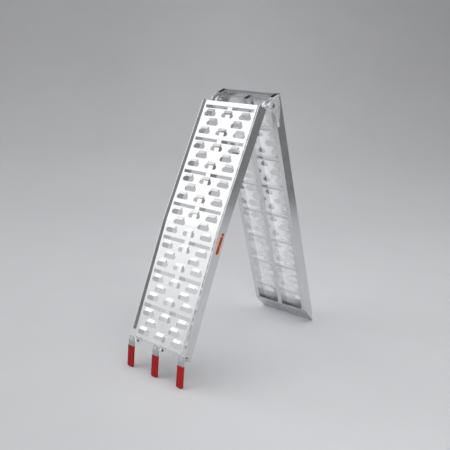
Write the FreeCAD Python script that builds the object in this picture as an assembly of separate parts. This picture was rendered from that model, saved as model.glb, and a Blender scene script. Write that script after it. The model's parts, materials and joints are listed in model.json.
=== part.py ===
import FreeCAD, Part
import math
import os

# Folding loading ramp: two leaves joined by a hinge, standing as an upturned V.
# All sizes are in millimetres. +Z is up. X runs across the ramp.
# Each leaf is drawn flat in its own frame: X across, Y along the leaf from its
# hinged end, Z out of the tread. Then it is turned and set at the hinge pin.

os.makedirs("parts", exist_ok=True)
V = FreeCAD.Vector
X_AXIS = V(1, 0, 0)

# ---- overall ----
HALF_WIDTH = 143.0          # centre line to the outer face of a side rail
GROUND_TILT = 19.56         # ground leaf, degrees from vertical
HOOK_TILT = 25.8            # hook leaf above its bend, degrees from vertical
HOOK_BEND = 4.3             # how far the lower half of the hook leaf is bent
GROUND_LENGTH = 1143.0      # hinged end to the ground edge
HOOK_LENGTH = 1015.0        # hinged end to the outer face of the end bar

# ---- hinge ----
PIN_ALONG = 25.0            # pin in from the hinged end of the ground leaf
PIN_BEYOND = 25.8           # pin beyond the hinged end of the hook leaf
PIN_DEPTH = 63.0            # pin below the tread of either leaf
PIN_RADIUS = 5.0
PIN_CLEARANCE = 0.05
LUG_RADIUS = 18.0
PLATE_THICK = 5.0
SIDE_GAP = 0.35             # free space beside the moving tongue

# ---- side rails: hollow, with a low sloped kerb along the outer edge ----
RAIL_WIDTH = 20.5
RAIL_DEPTH = 42.0
RAIL_WALL = 2.5
KERB_HEIGHT = 6.0
KERB_FOOT = 13.0            # width of the kerb at its foot
KERB_TOP = 2.0              # width of the kerb at its top
RAIL_IN = HALF_WIDTH - RAIL_WIDTH

# ---- centre rib ----
RIB_WIDTH = 22.0
RIB_WALL = 2.5

# ---- tread planks ----
PLANK_COUNT = 7
PLANK_PITCH = 139.2
PLANK_LENGTH = 125.2
PLANK_THICK = 3.0
PLANK_SKIRT = 10.0          # depth of the turned-down long edges
SKIRT_THICK = 2.5
HOOK_FIRST_PLANK = 32.8
GROUND_FIRST_PLANK = 26.0
JOINT_SLACK = 0.1
PLANK_HALF = RAIL_IN - JOINT_SLACK
ROW_OFFSETS = (25.0, 62.6, 100.2)
THREE_HOLES = (-89.0, 0.0, 89.0)
TWO_HOLES = (-62.0, 62.0)
SLOT_HALF = 29.5
SLOT_RADIUS = 9.5
TOOTH_HALF = 18.0
TOOTH_RUN = 12.0
TOOTH_RISE = 8.5
TOOTH_THICK = 2.2
TOOTH_SLIT = 0.6

# ---- cross bars ----
BAR_DEPTH = 22.0
BAR_WALL = 2.5
BAR_START = 1.0
HOOK_BAR_END = 18.8
GROUND_BAR_END = 17.5
END_BAR_START = 996.6
END_BAR_DEPTH = 32.0
END_BAR_PLUG = 12.0         # solid length at each end of the end bar

# ---- ground foot ----
BEVEL_LENGTH = 82.0
FOOT_PLATE = 4.0

# ---- fingers ----
FINGER_X = 132.8
FINGER_WIDTH = 28.0
FINGER_THICK = 6.0
FINGER_START = 996.6
FINGER_BEND_AT = 1015.6
FINGER_TILT = 3.0           # degrees from vertical below the bend
FINGER_RIVET_X = 132.8      # outer fingers are riveted into the hollow rails
SLEEVE_WIDTH = 34.0
SLEEVE_THICK = 12.0
SLEEVE_LENGTH = 88.0
SLEEVE_TIP = 4.0
SLEEVE_CORNER = 7.0
KERB_END = 967.0
STRAP_HOLE_BESIDE = 30.0    # strap hole to the right of a finger
STRAP_HOLE_RADIUS = 5.0
MARKER_THICK = 0.5
MARKER_STRIP = (527.0, 597.0, -32.0, -12.0)    # along the leaf, then into its depth
MARKER_BADGE = (511.0, 524.5, -34.0, -16.0)    # small plain patch above the strip

HOOK_BEND_AT = HOOK_FIRST_PLANK + 3 * PLANK_PITCH + PLANK_LENGTH / 2


def box(x0, x1, y0, y1, z0, z1):
    return Part.makeBox(x1 - x0, y1 - y0, z1 - z0, V(x0, y0, z0))


def prism_along(points, y0, y1):
    """Closed outline in X and Z, drawn out from y0 to y1."""
    wire = Part.makePolygon([V(x, y0, z) for x, z in points + points[:1]])
    return Part.Face(wire).extrude(V(0, y1 - y0, 0))


def prism_across(points, x0, x1):
    """Closed outline in Y and Z, drawn out from x0 to x1."""
    wire = Part.makePolygon([V(x0, y, z) for y, z in points + points[:1]])
    return Part.Face(wire).extrude(V(x1 - x0, 0, 0))


def rod(x0, x1, y, z, radius):
    """Round bar lying across the ramp."""
    return Part.makeCylinder(radius, abs(x1 - x0), V(min(x0, x1), y, z), X_AXIS)


def hex_across(x0, x1, y, z, flats):
    """Hexagon bar lying across the ramp."""
    r = flats / 2 / math.cos(math.pi / 6)
    pts = []
    for k in range(6):
        a = math.pi / 3 * k
        pts.append((y + r * math.cos(a), z + r * math.sin(a)))
    return prism_across(pts, min(x0, x1), max(x0, x1))


def join(shapes):
    out = shapes[0]
    if len(shapes) > 1:
        out = out.fuse(shapes[1:])
    return out.removeSplitter()


def turned(shape, centre, degrees):
    out = shape.copy()
    out.rotate(centre, X_AXIS, degrees)
    return out


def moved(shape, x, y, z):
    out = shape.copy()
    out.translate(V(x, y, z))
    return out


def mirrored(shape):
    return shape.mirror(V(0, 0, 0), X_AXIS)


def bend(shape):
    """Bend a straight piece of the hook leaf, mitred at the bend line."""
    line = V(0, HOOK_BEND_AT, 0)
    big = 2000.0
    upper = turned(box(-500, 500, HOOK_BEND_AT - big, HOOK_BEND_AT, -500, 500), line, -HOOK_BEND / 2)
    lower = turned(box(-500, 500, HOOK_BEND_AT, HOOK_BEND_AT + big, -500, 500), line, -HOOK_BEND / 2)
    limits = shape.BoundBox
    if limits.YMax < HOOK_BEND_AT - 5:
        return shape
    if limits.YMin > HOOK_BEND_AT + 5:
        return turned(shape, line, -HOOK_BEND)
    first = shape.common(upper)
    second = turned(shape, line, -HOOK_BEND).common(lower)
    return first.fuse(second).removeSplitter()


def rail(length, kerb_to):
    """Right-hand side rail with its sloped kerb."""
    outline = [
        (RAIL_IN, -RAIL_DEPTH), (HALF_WIDTH, -RAIL_DEPTH), (HALF_WIDTH, KERB_HEIGHT),
        (HALF_WIDTH - KERB_TOP, KERB_HEIGHT), (HALF_WIDTH - KERB_FOOT, 0), (RAIL_IN, 0),
    ]
    solid = prism_along(outline, 0, length)
    hollow = box(RAIL_IN + RAIL_WALL, HALF_WIDTH - RAIL_WALL, -1, length + 1,
                 -RAIL_DEPTH + RAIL_WALL, -RAIL_WALL)
    solid = solid.cut(hollow)
    past = box(HALF_WIDTH - KERB_FOOT - 1, HALF_WIDTH + 1, kerb_to, length + 1, 0, KERB_HEIGHT + 1)
    solid = solid.cut(past)
    return solid


def tube_across(half, y0, y1, depth, wall, plug):
    """Hollow cross bar; the last `plug` millimetres at each end are solid."""
    outer = box(-half, half, y0, y1, -depth, 0)
    inner = box(-half + plug, half - plug, y0 + wall, y1 - wall, -depth + wall, -wall)
    return outer.cut(inner)


def tube_along(half, y0, y1, z0, z1, wall):
    outer = box(-half, half, y0, y1, z0, z1)
    inner = box(-half + wall, half - wall, y0 - 1, y1 + 1, z0 + wall, z1 - wall)
    return outer.cut(inner)


def slot_cutter(x, y):
    """Rounded slot plus the window left open in front of its raised tooth."""
    flat = SLOT_HALF - SLOT_RADIUS
    deep = -PLANK_THICK - 1
    high = PLANK_THICK + 2
    body = box(x - flat, x + flat, y - SLOT_RADIUS, y + SLOT_RADIUS, deep, deep + high)
    left = Part.makeCylinder(SLOT_RADIUS, high, V(x - flat, y, deep))
    right = Part.makeCylinder(SLOT_RADIUS, high, V(x + flat, y, deep))
    wide = TOOTH_HALF + TOOTH_SLIT
    window = box(x - wide, x + wide, y - SLOT_RADIUS - TOOTH_RUN, y, deep, deep + high)
    return body.fuse([left, right, window])


def tooth(x, y):
    """Raised tongue rooted at the hinge side of its slot."""
    root = y - SLOT_RADIUS - TOOTH_RUN
    tip = y - SLOT_RADIUS
    outline = [
        (root - 1.5, -PLANK_THICK), (root + 1.0, -PLANK_THICK), (tip, TOOTH_RISE - TOOTH_THICK),
        (tip, TOOTH_RISE), (root - 0.5, 0.0), (root - 1.5, 0.0),
    ]
    return prism_across(outline, x - TOOTH_HALF, x + TOOTH_HALF)


def tread(y0, y1, rows):
    """Tread plate between the rails with turned-down long edges."""
    plate = box(-PLANK_HALF, PLANK_HALF, y0, y1, -PLANK_THICK, 0)
    for edge in (y0, y1 - SKIRT_THICK):
        for side in (-1, 1):
            inner = side * (RIB_WIDTH / 2 + JOINT_SLACK)
            outer = side * PLANK_HALF
            lo = min(inner, outer)
            hi = max(inner, outer)
            plate = plate.fuse(box(lo, hi, edge, edge + SKIRT_THICK, -PLANK_SKIRT, -PLANK_THICK))
    teeth = []
    for y, xs in rows:
        for x in xs:
            plate = plate.cut(slot_cutter(x, y))
            teeth.append(tooth(x, y))
    return join([plate] + teeth)


def rivet_across(side, face, depth, y, z, head):
    """Round-headed rivet: head on the `face` plane, shank going `depth` inwards."""
    s = side
    shank = rod(s * face, s * (face - depth), y, z, 3.0)
    dome = rod(s * face, s * (face + head), y, z, 6.0)
    tail = rod(s * (face - depth), s * (face - depth - 1.5), y, z, 4.6)
    return join([dome, shank, tail])


def rivet_down(x, y, top, depth):
    """Round-headed rivet pointing into the leaf."""
    dome = Part.makeCylinder(6.0, 2.4, V(x, y, top))
    shank = Part.makeCylinder(3.5, depth, V(x, y, top - depth))
    tail = Part.makeCylinder(5.0, 2.0, V(x, y, top - depth - 2.0))
    return join([dome, shank, tail])


def hole_across(x0, x1, y, z, radius):
    return rod(x0, x1, y, z, radius)


def lug_plate(outline, centre, x0, x1):
    """Flat plate with a round lug; the outline is given in Y and Z."""
    flat = prism_across(outline, x0, x1)
    disc = rod(x0, x1, centre[0], centre[1], LUG_RADIUS)
    return join([flat, disc])


def tangent_points(point, centre, radius):
    """Where the two lines from a point touch a circle."""
    dy = point[0] - centre[0]
    dz = point[1] - centre[1]
    dist = math.hypot(dy, dz)
    base = math.atan2(dz, dy)
    spread = math.acos(radius / dist)
    out = []
    for sign in (1, -1):
        a = base + sign * spread
        out.append((centre[0] + radius * math.cos(a), centre[1] + radius * math.sin(a)))
    return out


GROUND = {}
HOOK = {}

# ================= ground leaf, flat =================
tip_slope = math.atan2(RAIL_DEPTH, BEVEL_LENGTH)
bevel_start = GROUND_LENGTH - BEVEL_LENGTH
cut_run = FOOT_PLATE / math.sin(tip_slope)
bevel_tool = prism_across(
    [(bevel_start - cut_run, -RAIL_DEPTH), (bevel_start - cut_run - 30, -RAIL_DEPTH - 30),
     (GROUND_LENGTH + 200, -RAIL_DEPTH - 30), (GROUND_LENGTH + 200, 20),
     (GROUND_LENGTH - cut_run + 20 / math.tan(tip_slope), 20), (GROUND_LENGTH - cut_run, 0)],
    -300, 300)

ground_right = rail(GROUND_LENGTH, 1108.0).cut(bevel_tool)
foot_tread_start = GROUND_FIRST_PLANK + PLANK_COUNT * PLANK_PITCH
rib_top = -PLANK_THICK - JOINT_SLACK

# the foot plate closes the bevelled end and carries the ground edge
foot_outline = [
    (bevel_start, -RAIL_DEPTH), (GROUND_LENGTH, 0.0), (GROUND_LENGTH - cut_run, 0.0),
    (bevel_start - cut_run, -RAIL_DEPTH),
]
GROUND["ground_foot_plate"] = prism_across(foot_outline, -HALF_WIDTH, HALF_WIDTH)

hinge_centre_g = (PIN_ALONG, -PIN_DEPTH)
low = tangent_points((74.0, -RAIL_DEPTH + 3.0), hinge_centre_g, LUG_RADIUS)
low = min(low, key=lambda p: p[1])
plate_outline = [
    (2.0, -3.0), (0.5, -12.0), (PIN_ALONG - LUG_RADIUS, -PIN_DEPTH), (PIN_ALONG, -PIN_DEPTH), low,
    (74.0, -RAIL_DEPTH + 3.0), (126.0, -RAIL_DEPTH + 3.0), (126.0, -RAIL_DEPTH + 8.0), (60.0, -14.0),
    (8.0, -3.0),
]
plate_rivets_at = ((14.0, -14.0), (48.0, -25.0), (100.0, -33.0))
outer_plate = lug_plate(plate_outline, hinge_centre_g, HALF_WIDTH, HALF_WIDTH + PLATE_THICK)
outer_plate = outer_plate.cut(hole_across(HALF_WIDTH - 1, HALF_WIDTH + PLATE_THICK + 1,
                                          PIN_ALONG, -PIN_DEPTH, PIN_RADIUS))
rivets = []
for y, z in plate_rivets_at:
    drill = hole_across(HALF_WIDTH - RAIL_WALL - 1, HALF_WIDTH + PLATE_THICK + 1, y, z, 3.0)
    outer_plate = outer_plate.cut(drill)
    ground_right = ground_right.cut(drill)
    for side in (-1, 1):
        rivets.append(rivet_across(side, HALF_WIDTH + PLATE_THICK, PLATE_THICK + RAIL_WALL, y, z, 2.2))

GROUND["ground_right_rail"] = ground_right
GROUND["ground_left_rail"] = mirrored(ground_right)
GROUND["hinge_plate_right"] = outer_plate
GROUND["hinge_plate_left"] = mirrored(outer_plate)
GROUND["hinge_plate_rivets"] = Part.makeCompound(rivets)

GROUND["ground_top_bar"] = tube_across(PLANK_HALF, BAR_START, GROUND_BAR_END, BAR_DEPTH, BAR_WALL, 3.0)
rib = tube_along(RIB_WIDTH / 2, GROUND_BAR_END + JOINT_SLACK, GROUND_LENGTH,
                 -RAIL_DEPTH, rib_top, RIB_WALL)
GROUND["ground_centre_rib"] = rib.cut(bevel_tool)

for k in range(PLANK_COUNT):
    start = GROUND_FIRST_PLANK + k * PLANK_PITCH
    rows = [(start + ROW_OFFSETS[0], THREE_HOLES), (start + ROW_OFFSETS[1], TWO_HOLES),
            (start + ROW_OFFSETS[2], THREE_HOLES)]
    GROUND["ground_plank_%d" % (k + 1)] = tread(start, start + PLANK_LENGTH, rows)

foot_end = GROUND_LENGTH - cut_run - PLANK_THICK / math.tan(tip_slope) - 0.2
GROUND["ground_foot_tread"] = tread(foot_tread_start, foot_end + 0.0,
                                    [(foot_tread_start + ROW_OFFSETS[0], THREE_HOLES)]).cut(bevel_tool)

# ---- hinge hardware, carried by the ground leaf ----
tongue_out = RAIL_IN
tongue_in = RAIL_IN - PLATE_THICK
washer_out = HALF_WIDTH + PLATE_THICK
head_face = washer_out + 1.6
nut_face = tongue_in - SIDE_GAP
for side, name in ((1, "right"), (-1, "left")):
    s = side
    y = PIN_ALONG
    z = -PIN_DEPTH
    shank = rod(s * (nut_face - 13.5), s * head_face, y, z, PIN_RADIUS)
    head = hex_across(s * head_face, s * (head_face + 6.4), y, z, 17.0)
    crown = Part.makeCone(9.4, 12.0, 2.6, V(s * (head_face + 6.4), y, z), V(-s, 0, 0))
    crown = crown.fuse(rod(s * head_face, s * (head_face + 3.9), y, z, 12.0))
    head = head.common(crown)
    GROUND["pivot_bolt_" + name] = join([shank, head])
    nut = hex_across(s * (nut_face - 1.7), s * (nut_face - 10.2), y, z, 17.0)
    collar = rod(s * (nut_face - 10.2), s * (nut_face - 12.2), y, z, 7.4)
    nut = join([nut, collar]).cut(rod(s * (nut_face - 14), s * nut_face, y, z, PIN_RADIUS))
    GROUND["lock_nut_" + name] = nut
    tube_in = tongue_out + SIDE_GAP
    spacer = rod(s * tube_in, s * (HALF_WIDTH - 0.05), y, z, 9.0)
    spacer = spacer.cut(rod(s * (tube_in - 1), s * (HALF_WIDTH + 1), y, z, PIN_RADIUS))
    GROUND["pivot_spacer_" + name] = spacer

washers = []
for s in (-1, 1):
    outer = rod(s * washer_out, s * head_face, PIN_ALONG, -PIN_DEPTH, 10.5)
    inner = rod(s * (nut_face - 1.7), s * nut_face, PIN_ALONG, -PIN_DEPTH, 10.5)
    for ring in (outer, inner):
        lim = ring.BoundBox
        washers.append(ring.cut(rod(lim.XMin - 1, lim.XMax + 1, PIN_ALONG, -PIN_DEPTH, PIN_RADIUS)))
GROUND["pivot_washers"] = Part.makeCompound(washers)

# ================= hook leaf, flat and straight =================
hook_right = rail(HOOK_LENGTH, KERB_END)
hinge_centre_h = (-PIN_BEYOND, -PIN_DEPTH)
strap_top = -BAR_DEPTH - 2.5
strap_low = -RAIL_DEPTH + 0.5
neck_top = -RAIL_DEPTH - 1.2
upper_touch = tangent_points((2.0, neck_top), hinge_centre_h, LUG_RADIUS)
upper_touch = max(upper_touch, key=lambda p: p[1])
lower_touch = tangent_points((26.0, strap_low), hinge_centre_h, LUG_RADIUS)
lower_touch = min(lower_touch, key=lambda p: p[1])
tongue_outline = [
    (2.0, strap_top), (2.0, neck_top), upper_touch, hinge_centre_h, lower_touch, (26.0, strap_low),
    (88.0, strap_low), (88.0, strap_top + 3.0), (80.0, strap_top),
]
tongue = lug_plate(tongue_outline, hinge_centre_h, tongue_in, tongue_out)
tongue = tongue.cut(hole_across(tongue_in - 1, tongue_out + 1, -PIN_BEYOND, -PIN_DEPTH,
                                PIN_RADIUS + PIN_CLEARANCE))
tongue_rivets = []
for y, z in ((14.0, -33.0), (46.0, -33.0), (76.0, -33.0)):
    drill = hole_across(tongue_in - 1, RAIL_IN + RAIL_WALL + 1, y, z, 3.0)
    tongue = tongue.cut(drill)
    hook_right = hook_right.cut(drill)
    for s in (-1, 1):
        shank = rod(s * tongue_in, s * (RAIL_IN + RAIL_WALL), y, z, 3.0)
        dome = rod(s * (tongue_in - 2.2), s * tongue_in, y, z, 6.0)
        tail = rod(s * (RAIL_IN + RAIL_WALL), s * (RAIL_IN + RAIL_WALL + 1.5), y, z, 4.6)
        tongue_rivets.append(join([shank, dome, tail]))

end_bar = tube_across(PLANK_HALF, END_BAR_START, HOOK_LENGTH, END_BAR_DEPTH, BAR_WALL, END_BAR_PLUG)
end_bolts = []
bolt_y = (END_BAR_START + HOOK_LENGTH) / 2
bolt_z = -END_BAR_DEPTH / 2
drill = hole_across(PLANK_HALF - END_BAR_PLUG, HALF_WIDTH + 1, bolt_y, bolt_z, 4.0)
hook_right = hook_right.cut(drill)
end_bar = end_bar.cut(drill).cut(mirrored(drill))
for s in (-1, 1):
    shank = rod(s * (PLANK_HALF - END_BAR_PLUG), s * HALF_WIDTH, bolt_y, bolt_z, 4.0)
    head = hex_across(s * HALF_WIDTH, s * (HALF_WIDTH + 5.3), bolt_y, bolt_z, 13.0)
    end_bolts.append(join([shank, head]))

# holes for a tie-down strap through both faces of the end bar
for x in (-STRAP_HOLE_BESIDE, FINGER_X - STRAP_HOLE_BESIDE):
    end_bar = end_bar.cut(Part.makeCylinder(STRAP_HOLE_RADIUS, END_BAR_DEPTH + 2,
                                            V(x, bolt_y, -END_BAR_DEPTH - 1)))

# fingers: flat bars bent to hang straight down, each in a rubber sleeve
lower_tilt = HOOK_TILT - HOOK_BEND
bend_angle = math.radians(lower_tilt - FINGER_TILT)


def hook_height(y, z):
    """Height above the pin of a point on the lower part of the hook leaf."""
    b = math.radians(HOOK_BEND)
    dy = y - HOOK_BEND_AT
    zz = -dy * math.sin(b) + z * math.cos(b)
    yy = HOOK_BEND_AT + dy * math.cos(b) + z * math.sin(b)
    a = math.radians(HOOK_TILT)
    return -(yy + PIN_BEYOND) * math.cos(a) + (zz + PIN_DEPTH) * math.sin(a)


ga = math.radians(GROUND_TILT)
PIN_HEIGHT = (GROUND_LENGTH - PIN_ALONG) * math.cos(ga) - PIN_DEPTH * math.sin(ga)
upright = math.radians(FINGER_TILT)
above_floor = PIN_HEIGHT + hook_height(FINGER_BEND_AT, FINGER_THICK / 2)
drop = (above_floor - SLEEVE_THICK / 2 * math.sin(upright)) / math.cos(upright)
finger_run = drop - SLEEVE_TIP
half_t = FINGER_THICK / 2


def finger_strip(start, end, half_thick, first_flat):
    """Outline of a bar bent at FINGER_BEND_AT; `start` and `end` are distances past the bend."""
    c = math.cos(bend_angle)
    s = math.sin(bend_angle)
    mid = half_t
    out = []
    under = []
    if first_flat is not None:
        out.append((first_flat, mid + half_thick))
        under.append((first_flat, mid - half_thick))
        shift = half_thick * math.tan(bend_angle / 2)
        out.append((FINGER_BEND_AT + shift, mid + half_thick))
        under.append((FINGER_BEND_AT - shift, mid - half_thick))
    else:
        out.append((FINGER_BEND_AT + start * c + half_thick * s, mid - start * s + half_thick * c))
        under.append((FINGER_BEND_AT + start * c - half_thick * s, mid - start * s - half_thick * c))
    out.append((FINGER_BEND_AT + end * c + half_thick * s, mid - end * s + half_thick * c))
    under.append((FINGER_BEND_AT + end * c - half_thick * s, mid - end * s - half_thick * c))
    return out + under[::-1]


finger_outline = finger_strip(0, finger_run, half_t, FINGER_START)
sleeve_from = drop - SLEEVE_LENGTH
sleeve_outline = finger_strip(sleeve_from, drop, SLEEVE_THICK / 2, None)
cavity_outline = finger_strip(sleeve_from - 1, finger_run, half_t, None)
finger_bolts = []
bolt_at = (FINGER_START + FINGER_BEND_AT) / 2
for x, name in ((-FINGER_X, "right"), (0.0, "centre"), (FINGER_X, "left")):
    rivet_x = FINGER_RIVET_X * (x > 1) - FINGER_RIVET_X * (x < -1)
    bar = prism_across(finger_outline, x - FINGER_WIDTH / 2, x + FINGER_WIDTH / 2)
    bar = bar.cut(Part.makeCylinder(3.5, 20, V(rivet_x, bolt_at, -5)))
    HOOK["finger_" + name] = bar
    cover = prism_across(sleeve_outline, x - SLEEVE_WIDTH / 2, x + SLEEVE_WIDTH / 2)
    tip_y = FINGER_BEND_AT + drop * math.cos(bend_angle)
    tip_z = half_t - drop * math.sin(bend_angle)
    frame = FreeCAD.Placement(V(x, tip_y, tip_z), FreeCAD.Rotation(X_AXIS, -math.degrees(bend_angle)))
    pill = box(-SLEEVE_WIDTH / 2, SLEEVE_WIDTH / 2, -SLEEVE_LENGTH - 1, 0, -SLEEVE_THICK, SLEEVE_THICK)
    ends = [e for e in pill.Edges
            if abs(e.BoundBox.YMin) < 1e-6 and abs(e.BoundBox.YMax) < 1e-6
            and abs(e.BoundBox.ZMax - e.BoundBox.ZMin) > 1]
    pill = pill.makeFillet(SLEEVE_CORNER, ends)
    pill.Placement = frame
    cover = cover.common(pill)
    cavity = prism_across(cavity_outline, x - FINGER_WIDTH / 2, x + FINGER_WIDTH / 2)
    cover = cover.cut(cavity)
    HOOK["finger_sleeve_" + name] = cover
    finger_bolts.append(rivet_down(rivet_x, bolt_at, FINGER_THICK, FINGER_THICK + BAR_WALL))
    drill = Part.makeCylinder(3.5, 20, V(rivet_x, bolt_at, -BAR_WALL - 1))
    end_bar = end_bar.cut(drill)
    hook_right = hook_right.cut(drill)

HOOK["hook_left_rail"] = hook_right
HOOK["hook_right_rail"] = mirrored(hook_right)
HOOK["hook_end_bar"] = end_bar
HOOK["hinge_tongue_left"] = tongue
HOOK["hinge_tongue_right"] = mirrored(tongue)
HOOK["hinge_tongue_rivets"] = Part.makeCompound(tongue_rivets)
HOOK["end_bar_bolts"] = Part.makeCompound(end_bolts)
HOOK["finger_rivets"] = Part.makeCompound(finger_bolts)
HOOK["hook_top_bar"] = tube_across(PLANK_HALF, BAR_START, HOOK_BAR_END, BAR_DEPTH, BAR_WALL, 3.0)
HOOK["hook_centre_rib"] = tube_along(RIB_WIDTH / 2, HOOK_BAR_END + JOINT_SLACK,
                                     END_BAR_START - JOINT_SLACK, -RAIL_DEPTH, rib_top, RIB_WALL)
for k in range(PLANK_COUNT):
    start = HOOK_FIRST_PLANK + k * PLANK_PITCH
    rows = [(start + ROW_OFFSETS[0], THREE_HOLES), (start + ROW_OFFSETS[1], TWO_HOLES),
            (start + ROW_OFFSETS[2], THREE_HOLES)]
    HOOK["hook_plank_%d" % (k + 1)] = tread(start, start + PLANK_LENGTH, rows)

# plain marking strip and square on the outer face of the right-hand rail of the hook leaf
marker_strip = box(-HALF_WIDTH - MARKER_THICK, -HALF_WIDTH, *MARKER_STRIP)
marker_badge = box(-HALF_WIDTH - MARKER_THICK, -HALF_WIDTH, *MARKER_BADGE)
HOOK["rail_marker"] = Part.makeCompound([marker_badge, marker_strip])

# ================= set both leaves at the hinge =================
solids = {}
for name, shape in GROUND.items():
    part = moved(shape, 0, -PIN_ALONG, PIN_DEPTH)
    part = turned(part, V(0, 0, 0), GROUND_TILT - 90.0)
    solids[name] = moved(part, 0, 0, PIN_HEIGHT)

for name, shape in HOOK.items():
    if name not in ("hinge_tongue_left", "hinge_tongue_right", "hinge_tongue_rivets"):
        if isinstance(shape, Part.Compound) and len(shape.Solids) > 1:
            shape = Part.makeCompound([bend(s) for s in shape.Solids])
        else:
            shape = bend(shape)
    part = moved(shape, 0, PIN_BEYOND, PIN_DEPTH)
    part.rotate(V(0, 0, 0), V(0, 0, 1), 180.0)
    part = turned(part, V(0, 0, 0), 90.0 - HOOK_TILT)
    solids[name] = moved(part, 0, 0, PIN_HEIGHT)

y_lo = min(s.BoundBox.YMin for s in solids.values())
y_hi = max(s.BoundBox.YMax for s in solids.values())
middle = (y_lo + y_hi) / 2
for name, shape in solids.items():
    moved(shape, 0, -middle, 0).exportStep("parts/%s.step" % name)

z_lo_ground = min(solids[n].BoundBox.ZMin for n in GROUND)
z_lo_hook = min(solids[n].BoundBox.ZMin for n in HOOK)
print("pin at y %.4f z %.4f" % (-middle, PIN_HEIGHT))
print("lowest points %.4f %.4f" % (z_lo_ground, z_lo_hook))
print("nodes %d" % len(solids))
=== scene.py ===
import json
import math

import bmesh
import bpy
from mathutils import Matrix, Vector


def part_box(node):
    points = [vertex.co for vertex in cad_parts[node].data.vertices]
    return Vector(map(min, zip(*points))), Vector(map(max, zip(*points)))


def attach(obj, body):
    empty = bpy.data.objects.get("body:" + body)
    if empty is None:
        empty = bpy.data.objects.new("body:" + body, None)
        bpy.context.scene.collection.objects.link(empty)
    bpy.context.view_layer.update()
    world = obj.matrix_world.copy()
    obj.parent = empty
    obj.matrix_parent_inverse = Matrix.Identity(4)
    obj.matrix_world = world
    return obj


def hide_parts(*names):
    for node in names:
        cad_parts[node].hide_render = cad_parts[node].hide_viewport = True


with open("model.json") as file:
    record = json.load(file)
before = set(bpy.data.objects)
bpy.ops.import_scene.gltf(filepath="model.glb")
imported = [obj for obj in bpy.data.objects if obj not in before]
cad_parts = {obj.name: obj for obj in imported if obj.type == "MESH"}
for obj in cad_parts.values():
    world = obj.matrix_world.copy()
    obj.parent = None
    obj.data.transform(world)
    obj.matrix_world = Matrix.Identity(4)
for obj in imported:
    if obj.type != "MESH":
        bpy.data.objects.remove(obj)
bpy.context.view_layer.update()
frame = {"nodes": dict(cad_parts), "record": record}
record = frame["record"]
nodes = frame["nodes"]
scene = bpy.context.scene

# ---- the object, in metres ----
GROUND_TILT = 19.56                 # ground leaf, degrees from vertical
HOOK_TILT = 25.8                    # hook leaf above its bend, degrees from vertical
GROUND, HOOK = "ground_leaf", "hook_leaf"


def slot_colour(name):
    for entry in record["materials"]:
        if entry["slot"] == name:
            return tuple(entry["base_color"][:3]) + (1.0,)
    raise KeyError(name)


# ---------------------------------------------------------------- materials
PLATE_FILM = (0.6, 0.6, 0.57, 1.0)
RUBBER_RED = (0.42, 0.006, 0.010, 1.0)
RUBBER_WORN = (0.2, 0.02, 0.02, 1.0)
WORN_HEIGHT = 0.012                 # the worn tip reaches this high above the ground
MARKER_ORANGE = (0.85, 0.135, 0.015, 1.0)
MARKER_INK = (0.045, 0.03, 0.025, 1.0)


class Nodes:
    """Short names for building one node tree."""

    def __init__(self, name):
        self.material = bpy.data.materials.new(name)
        self.material.use_nodes = True
        self.tree = self.material.node_tree
        self.tree.nodes.clear()
        self.out = self.add("ShaderNodeOutputMaterial")
        self.shader = self.add("ShaderNodeBsdfPrincipled")
        self.link(self.shader, "BSDF", self.out, "Surface")
        self.place = self.add("ShaderNodeTexCoord")

    def add(self, kind, **values):
        node = self.tree.nodes.new(kind)
        for key, value in values.items():
            setattr(node, key, value)
        return node

    def link(self, a, out, b, into):
        self.tree.links.new(a.outputs[out], b.inputs[into])

    def mapped(self, scale, tilt=0.0):
        """Object coordinates turned by tilt about X, so Z runs along a leaf, then stretched."""
        turn = self.add("ShaderNodeMapping")
        turn.inputs["Rotation"].default_value = (math.radians(tilt), 0, 0)
        self.link(self.place, "Object", turn, "Vector")
        size = self.add("ShaderNodeMapping")
        size.inputs["Scale"].default_value = scale
        self.link(turn, "Vector", size, "Vector")
        return size

    def noise(self, vector, scale, detail=3.0, rough=0.55):
        node = self.add("ShaderNodeTexNoise")
        node.inputs["Scale"].default_value = scale
        node.inputs["Detail"].default_value = detail
        node.inputs["Roughness"].default_value = rough
        self.link(vector, "Vector", node, "Vector")
        return node

    def ramp(self, source, stops, out="Fac"):
        node = self.add("ShaderNodeValToRGB")
        first, last = node.color_ramp.elements
        first.position, first.color = stops[0][0], grey(stops[0][1])
        last.position, last.color = stops[-1][0], grey(stops[-1][1])
        for at, value in stops[1:-1]:
            node.color_ramp.elements.new(at).color = grey(value)
        self.link(source, out, node, "Fac")
        return node

    def mix(self, mode, factor, a, b, a_out="Color", b_out="Color"):
        node = self.add("ShaderNodeMix", data_type="RGBA", blend_type=mode)
        node.inputs[0].default_value = factor
        for value, out, index in ((a, a_out, 6), (b, b_out, 7)):
            if isinstance(value, tuple):
                node.inputs[index].default_value = value
            else:
                self.tree.links.new(value.outputs[out], node.inputs[index])
        return node

    def blend(self, factor_node, a, b, factor_out="Color"):
        node = self.mix("MIX", 0.5, a, b)
        self.tree.links.new(factor_node.outputs[factor_out], node.inputs[0])
        return Mixed(node)

    def roughness(self, source, low, high, from_low=0.0, from_high=1.0):
        """Roughness from low to high as the source goes over its range."""
        level = self.add("ShaderNodeMapRange")
        level.inputs["From Min"].default_value = from_low
        level.inputs["From Max"].default_value = from_high
        level.inputs["To Min"].default_value = low
        level.inputs["To Max"].default_value = high
        self.tree.links.new(source, level.inputs["Value"])
        self.link(level, "Result", self.shader, "Roughness")

    def colour(self, mixed):
        self.tree.links.new(mixed.outputs["Color"], self.shader.inputs["Base Color"])

    def bump(self, source, strength, distance, normal=None, out="Color"):
        node = self.add("ShaderNodeBump")
        node.inputs["Strength"].default_value = strength
        node.inputs["Distance"].default_value = distance
        self.link(source, out, node, "Height")
        if normal is not None:
            self.link(normal, "Normal", node, "Normal")
        return node


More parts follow.
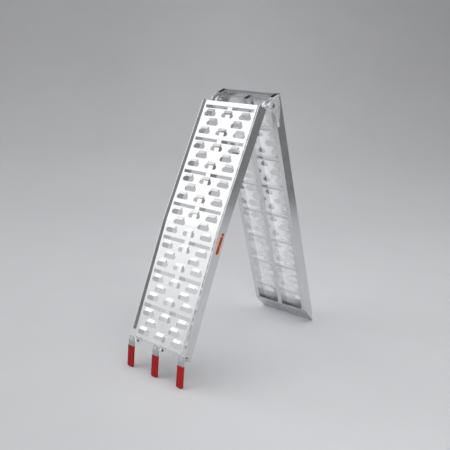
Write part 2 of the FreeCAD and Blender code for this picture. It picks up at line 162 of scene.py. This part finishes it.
class Mixed:
    """A colour mix whose result is read by the name Color."""

    def __init__(self, node):
        self.outputs = {"Color": node.outputs[2]}


def grey(value):
    if isinstance(value, tuple):
        return value
    return (value, value, value, 1.0)


def aluminium(name, colour, tilt, grain, rough=(0.2, 0.34), streak=0.25, mottle=0.12, bump=0.25,
              metal=1.0):
    """Mill-finish aluminium: drawn or rolled lines, cloudy oxide and a few handling scratches.

    grain is "along" the leaf or "across" it.
    """
    n = Nodes(name)
    lines = (900.0, 900.0, 9.0) if grain == "along" else (9.0, 900.0, 900.0)
    fine = n.noise(n.mapped(lines, tilt), 1.0, 2.0)
    coarse_scale = (140.0, 140.0, 2.5) if grain == "along" else (2.5, 140.0, 140.0)
    coarse = n.noise(n.mapped(coarse_scale, tilt), 1.0, 3.0)
    cloud = n.noise(n.mapped((1.0, 1.0, 1.0), tilt), 16.0, 5.0, 0.6)
    speck = n.noise(n.mapped((1.0, 1.0, 1.0), tilt), 420.0, 2.0)
    scratch = n.noise(n.mapped((60.0, 60.0, 700.0), tilt + 31.0), 1.0, 1.0)
    scratches = n.ramp(scratch, [(0.70, 0.0), (0.74, 1.0)])

    lined = n.mix("MULTIPLY", streak, colour, n.ramp(coarse, [(0.3, 0.72), (0.7, 1.0)]))
    clouded = n.mix("MULTIPLY", mottle * 2.0, Mixed(lined), n.ramp(cloud, [(0.35, 0.66), (0.65, 1.0)]))
    n.colour(Mixed(clouded))
    n.shader.inputs["Metallic"].default_value = metal

    mixed = n.mix("MIX", 0.35, cloud, fine, "Fac", "Fac")
    scuffed = n.mix("ADD", 0.12, Mixed(mixed), scratches)
    n.roughness(Mixed(scuffed).outputs["Color"], rough[0], rough[1], 0.3, 0.7)

    under = n.bump(fine, bump, 0.00003, out="Fac")
    over = n.bump(cloud, bump * 0.8, 0.0009, under, out="Fac")
    top = n.bump(speck, 0.1, 0.00005, over, out="Fac")
    n.link(top, "Normal", n.shader, "Normal")
    return n.material


def plated_steel(name, colour):
    """Zinc-plated steel with a cloudy, slightly warm film."""
    n = Nodes(name)
    cloud = n.noise(n.mapped((1.0, 1.0, 1.0)), 90.0, 4.0)
    fine = n.noise(n.mapped((1.0, 1.0, 1.0)), 900.0, 2.0)
    tint = n.blend(n.ramp(cloud, [(0.35, 0.0), (0.65, 1.0)]), colour, PLATE_FILM)
    n.colour(tint)
    n.shader.inputs["Metallic"].default_value = 1.0
    n.roughness(cloud.outputs["Fac"], 0.16, 0.34)
    n.link(n.bump(fine, 0.15, 0.00004, out="Fac"), "Normal", n.shader, "Normal")
    return n.material


def red_rubber(name):
    """Dipped red rubber with a fine grain and a tip worn by the ground."""
    n = Nodes(name)
    cloud = n.noise(n.mapped((1.0, 1.0, 1.0)), 45.0, 5.0)
    grain = n.noise(n.mapped((1.0, 1.0, 1.0)), 1500.0, 2.0)
    shadow = (RUBBER_RED[0] * 0.72, RUBBER_RED[1] * 0.75, RUBBER_RED[2] * 0.8, 1.0)
    deep = n.blend(n.ramp(cloud, [(0.3, 0.0), (0.7, 1.0)]), RUBBER_RED, shadow)
    height = n.add("ShaderNodeSeparateXYZ")
    n.link(n.place, "Object", height, "Vector")
    worn = n.ramp(height, [(0.0, 0.35), (WORN_HEIGHT, 0.0)], out="Z")
    n.colour(n.blend(worn, deep, RUBBER_WORN))
    n.shader.inputs["Specular IOR Level"].default_value = 0.3
    n.roughness(cloud.outputs["Fac"], 0.5, 0.68)
    under = n.bump(grain, 0.25, 0.00006, out="Fac")
    n.link(n.bump(cloud, 0.2, 0.0005, under, out="Fac"), "Normal", n.shader, "Normal")
    return n.material


def marker_film(name, tilt):
    """Plain coloured film with dark blocks down its middle, no lettering."""
    n = Nodes(name)
    place = n.mapped((1.0, 1.0, 1.0), tilt)
    turn = Matrix.Rotation(math.radians(tilt), 3, "X")
    reach = [(turn @ vertex.co).y for vertex in nodes["rail_marker"].data.vertices]
    parts = n.add("ShaderNodeSeparateXYZ")
    n.link(place, "Vector", parts, "Vector")
    across = n.add("ShaderNodeMapRange")
    across.inputs["From Min"].default_value = min(reach)
    across.inputs["From Max"].default_value = max(reach)
    n.link(parts, "Y", across, "Value")
    core = n.ramp(across, [(0.22, 0.0), (0.3, 1.0), (0.7, 1.0), (0.78, 0.0)], out="Result")
    blocks = n.noise(n.mapped((1.0, 90.0, 330.0), tilt), 1.0, 1.0)
    printed = n.mix("MULTIPLY", 1.0, core, n.ramp(blocks, [(0.36, 0.25), (0.42, 1.0)]))
    strip = n.blend(Mixed(printed), MARKER_ORANGE, MARKER_INK)
    wear = n.noise(place, 260.0, 4.0)
    faded = n.mix("MULTIPLY", 0.5, strip, n.ramp(wear, [(0.3, 0.7), (0.6, 1.0)]))
    n.colour(Mixed(faded))
    n.roughness(wear.outputs["Fac"], 0.3, 0.5)
    n.link(n.bump(wear, 0.1, 0.0002, out="Fac"), "Normal", n.shader, "Normal")
    return n.material


TILTS = {GROUND: -GROUND_TILT, HOOK: HOOK_TILT}
# lit and shaded copies of one finish: the ground leaf's planks are made less metallic, so they take
# more diffuse light and look brighter in their shade, and the hook leaf's are made more metallic, so
# its lower planks look darker
TREAD_METAL = {GROUND: 0.42, HOOK: 0.86}
materials = {}
for body, tilt in TILTS.items():
    materials[body] = {
        "extruded_aluminium": aluminium(body + "_extruded", (0.82, 0.83, 0.845, 1), tilt, "along",
                                        rough=(0.14, 0.26)),
        "tread_aluminium": aluminium(body + "_tread", (0.88, 0.885, 0.895, 1), tilt, "across",
                                     rough=(0.24, 0.38), streak=0.12, mottle=0.1, bump=0.2,
                                     metal=TREAD_METAL[body]),
        "bar_aluminium": aluminium(body + "_bar", (0.62, 0.63, 0.65, 1), 0.0, "along",
                                   rough=(0.32, 0.5), streak=0.4, mottle=0.25, bump=0.5),
        # painted shade: a darker aluminium for the ground leaf's foot plate, standing in for the shade
        # low down at its foot
        "foot_shade_aluminium": aluminium(body + "_foot", (0.66, 0.67, 0.69, 1), tilt, "across",
                                    rough=(0.2, 0.34), streak=0.3, mottle=0.2),
        "plate_aluminium": aluminium(body + "_plate", (0.84, 0.845, 0.855, 1), tilt, "across",
                                     rough=(0.24, 0.4), streak=0.3, mottle=0.18,
                                     metal=0.55),
        "rivet_aluminium": aluminium(body + "_rivet", (0.78, 0.79, 0.8, 1), 0.0, "along",
                                     rough=(0.22, 0.36), mottle=0.2),
        "zinc_plated_steel": plated_steel(body + "_zinc", slot_colour("zinc_plated_steel")),
        "red_rubber": red_rubber(body + "_rubber"),
        "marker_film": marker_film(body + "_marker", tilt),
    }

SLOT_OF = {entry["node"]: entry["material_slot"] for entry in record["subparts"]}
FINISH_OF = {"ground_foot_plate": "foot_shade_aluminium"}     # painted shade: darker than the foot plate's own slot
for body, members in record["behaviour"]["bodies"].items():
    for name in members:
        piece = nodes[name]
        finish = materials[body][FINISH_OF.get(name, SLOT_OF[name])]
        if not piece.material_slots:
            piece.data.materials.append(finish)
        for entry in piece.material_slots:
            entry.material = finish

# ---- soft edges on the metal ----
EDGE_ANGLE = math.radians(40)
EDGE = {"extruded_aluminium": 0.0006, "tread_aluminium": 0.0005, "bar_aluminium": 0.0007,
        "plate_aluminium": 0.0006, "rivet_aluminium": 0.0007, "zinc_plated_steel": 0.0004}
for name, piece in nodes.items():
    width = EDGE.get(SLOT_OF[name])
    if width is None:
        continue
    soft = piece.modifiers.new("soft_edge", "BEVEL")
    soft.width = width
    soft.segments = 2
    soft.limit_method = "ANGLE"
    soft.angle_limit = EDGE_ANGLE
    soft.harden_normals = False

# ---- rubber sleeves: ribbed lengthways, rounded at the tip, with a rolled rim ----
FINGER_TILT = math.radians(3.0)
SLEEVE_LENGTH = 0.088
SLEEVE_HALF_WIDTH, SLEEVE_HALF_THICK = 0.0169, 0.0059
SLEEVE_CORNER = 0.0075              # rounding of the tip
TIP_THIN = 0.42                     # thickness at the very tip, as a share of the full one
RIM_DROP, RIM_WIDTH, RIM_LIFT = 0.002, 0.0016, 0.0004
RIM_FLARE = 0.02
RIB_COUNT, RIB_DEPTH = 4, 0.0009
RIB_START, RIB_FADE_IN = 0.005, 0.003
RIB_STOP, RIB_FADE_OUT = 0.006, 0.006
WIDE_POWER, THIN_POWER = 0.42, 0.5  # how square the section's corners are
RING_POINTS, SLEEVE_RINGS = 96, 44
RING_CROWDING = 1.8                 # over 1 puts more rings near the tip


def clamp(value):
    return min(1.0, max(0.0, value))


def sleeve_ring(drop):
    """Outline of the sleeve at a distance below its rim, as (across, through) pairs."""
    left = SLEEVE_LENGTH - drop
    half_width, half_thick = SLEEVE_HALF_WIDTH, SLEEVE_HALF_THICK
    if left < SLEEVE_CORNER:
        into = 1 - left / SLEEVE_CORNER
        half_width -= SLEEVE_CORNER * (1 - math.sqrt(max(0.0, 1 - into * into)))
        half_thick *= TIP_THIN + (1 - TIP_THIN) * math.sqrt(max(0.0, 1 - into ** 3))
    rim = math.exp(-((drop - RIM_DROP) / RIM_WIDTH) ** 2)
    fade = clamp((drop - RIB_START) / RIB_FADE_IN) * clamp((left - RIB_STOP) / RIB_FADE_OUT)
    points = []
    for k in range(RING_POINTS):
        a = 2 * math.pi * k / RING_POINTS
        c, s = math.cos(a), math.sin(a)
        across = half_width * math.copysign(abs(c) ** WIDE_POWER, c)
        through = half_thick * math.copysign(abs(s) ** THIN_POWER, s)
        flat = max(0.0, 1 - abs(across / SLEEVE_HALF_WIDTH) ** 8)
        place = across / (2 * SLEEVE_HALF_WIDTH) + 0.5
        groove = 0.5 - 0.5 * math.cos(2 * math.pi * RIB_COUNT * place)
        dip = RIB_DEPTH * (1 - groove) * flat * fade
        through -= math.copysign(dip + RIM_LIFT * (1 - rim), s)
        points.append((across * (1 - RIM_FLARE * (1 - rim)), through))
    return points


def build_sleeve(side):
    """One ribbed sleeve in the place of the plain CAD one."""
    node = "finger_sleeve_" + side
    low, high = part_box(node)
    centre = (Vector(low) + Vector(high)) / 2
    down = Vector((0, -math.sin(FINGER_TILT), -math.cos(FINGER_TILT)))
    through_dir = Vector((0, -math.cos(FINGER_TILT), math.sin(FINGER_TILT)))
    start = centre - down * (SLEEVE_LENGTH / 2)
    mesh = bmesh.new()
    previous = None
    for ring in range(SLEEVE_RINGS + 1):
        t = ring / SLEEVE_RINGS
        drop = SLEEVE_LENGTH * (1 - (1 - t) ** RING_CROWDING)
        loop = [mesh.verts.new(start + down * drop + Vector((across, 0, 0)) + through_dir * through)
                for across, through in sleeve_ring(drop)]
        if previous is None:
            mesh.faces.new(loop)
        else:
            for k in range(RING_POINTS):
                mesh.faces.new((previous[k], loop[k], loop[k - 1], previous[k - 1]))
        previous = loop
    mesh.faces.new(previous[::-1])
    bmesh.ops.recalc_face_normals(mesh, faces=mesh.faces)
    data = bpy.data.meshes.new("rubber_sleeve_" + side)
    mesh.to_mesh(data)
    mesh.free()
    data.shade_smooth()
    piece = bpy.data.objects.new("rubber_sleeve_" + side, data)
    scene.collection.objects.link(piece)
    data.materials.append(materials[HOOK]["red_rubber"])
    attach(piece, HOOK)
    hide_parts(node)


for side in ("left", "centre", "right"):
    build_sleeve(side)

# ---------------------------------------------------------------- stage
# a paper sweep: floor in front, curved up behind, square to the camera
SWEEP_NEAR, SWEEP_FLAT, SWEEP_RADIUS, SWEEP_TOP = -7.0, 2.3, 2.6, 5.0
SWEEP_LEFT, SWEEP_RIGHT = -6.5, 2.6
SWEEP_TURN = math.radians(38.69)    # the camera looks from this far round
SWEEP_STEPS = 40
profile = [(SWEEP_NEAR, 0.0)]
for k in range(SWEEP_STEPS + 1):
    a = math.pi / 2 * k / SWEEP_STEPS
    profile.append((SWEEP_FLAT + SWEEP_RADIUS * math.sin(a), SWEEP_RADIUS * (1 - math.cos(a))))
profile.append((SWEEP_FLAT + SWEEP_RADIUS, SWEEP_TOP))
corners = []
for depth, height in profile:
    for across in (SWEEP_LEFT, SWEEP_RIGHT):
        corners.append((across * math.cos(SWEEP_TURN) - depth * math.sin(SWEEP_TURN),
                        across * math.sin(SWEEP_TURN) + depth * math.cos(SWEEP_TURN), height))
faces = [(2 * k, 2 * k + 1, 2 * k + 3, 2 * k + 2) for k in range(len(profile) - 1)]
floor_mesh = bpy.data.meshes.new("floor")
floor_mesh.from_pydata(corners, [], faces)
floor_mesh.shade_smooth()
floor = bpy.data.objects.new("floor", floor_mesh)
scene.collection.objects.link(floor)
paper = Nodes("studio_paper")
PAPER_DARK, PAPER_LIGHT = (0.80, 0.805, 0.83, 1), (0.82, 0.825, 0.85, 1)
fibres = paper.noise(paper.mapped((1, 1, 1)), 3.0, 3.0)
sheet = paper.ramp(fibres, [(0.3, PAPER_DARK), (0.7, PAPER_LIGHT)])
# painted shade: the paper is darkened higher up the sweep, in place of the light falling off towards
# the top of the backdrop
height = paper.add("ShaderNodeSeparateXYZ")
paper.link(paper.place, "Object", height, "Vector")
shade = paper.ramp(height, [(0.0, 1.0), (0.3, 0.9), (1.0, 0.84)], out="Z")
shaded = paper.mix("MULTIPLY", 1.0, sheet, shade)
paper.tree.links.new(shaded.outputs[2], paper.shader.inputs["Base Color"])
paper.shader.inputs["Roughness"].default_value = 0.8
floor.data.materials.append(paper.material)

# ---- soft studio light: a broad glow at the upper left, a dim room elsewhere ----
GLOW_FROM = Vector((-0.72, -0.45, 0.72)).normalized()
GLOW = [(0.0, 0.2), (0.25, 0.2), (0.43, 0.2), (0.63, 0.3), (0.73, 0.39), (0.81, 0.56),
        (0.87, 1.3), (1.0, 1.5)]
world = bpy.data.worlds.new("studio")
world.use_nodes = True
sky = world.node_tree
away = sky.nodes.new("ShaderNodeTexCoord")
facing = sky.nodes.new("ShaderNodeVectorMath")
facing.operation = "DOT_PRODUCT"
facing.inputs[1].default_value = GLOW_FROM
sky.links.new(away.outputs["Generated"], facing.inputs[0])
glow = sky.nodes.new("ShaderNodeValToRGB")
glow.color_ramp.elements[0].color = grey(GLOW[0][1])
glow.color_ramp.elements[1].color = grey(GLOW[-1][1])
for at, value in GLOW[1:-1]:
    glow.color_ramp.elements.new(at).color = grey(value)
sky.links.new(facing.outputs["Value"], glow.inputs["Fac"])
sky.links.new(glow.outputs["Color"], sky.nodes["Background"].inputs["Color"])
scene.world = world
scene.view_settings.view_transform = "Standard"


def softbox(name, at, aim, width, height, power, spread=180.0):
    data = bpy.data.lights.new(name, "AREA")
    data.shape = "RECTANGLE"
    data.size = width
    data.size_y = height
    data.energy = power
    data.spread = math.radians(spread)
    lamp = bpy.data.objects.new(name, data)
    lamp.location = at
    lamp.rotation_euler = (Vector(aim) - Vector(at)).to_track_quat("-Z", "Y").to_euler()
    lamp.visible_camera = False
    scene.collection.objects.link(lamp)


softbox("overhead", (1.0, 0.2, 4.2), (0.4, 0.0, 0), 3.4, 3.4, 52)
softbox("backdrop", (-2.6, 0.4, 3.9), (-2.2, 3.2, 0.4), 2.4, 1.0, 3)
softbox("side_fill", (2.3, -1.5, 0.35), (0.0, 0.3, 0.5), 1.1, 0.9, 5.2, 42.0)

# ---- camera ----
LENS = 55.9
AZIMUTH, ELEVATION, ROLL = math.radians(38.69), math.radians(14.865), math.radians(2.138)
DISTANCE = 2.8693
AIM = Vector((0.0077, -0.0617, 0.5396))
back = Vector((math.sin(AZIMUTH) * math.cos(ELEVATION), -math.cos(AZIMUTH) * math.cos(ELEVATION),
               math.sin(ELEVATION)))
right = (-back).cross(Vector((0, 0, 1))).normalized()
up = right.cross(-back)
rolled_right = right * math.cos(ROLL) + up * math.sin(ROLL)
rolled_up = up * math.cos(ROLL) - right * math.sin(ROLL)
camera_data = bpy.data.cameras.new("camera")
camera_data.lens = LENS
camera = bpy.data.objects.new("camera", camera_data)
turn = Matrix((rolled_right, rolled_up, back)).transposed().to_4x4()
camera.matrix_world = Matrix.Translation(AIM + back * DISTANCE) @ turn
scene.collection.objects.link(camera)
scene.camera = camera
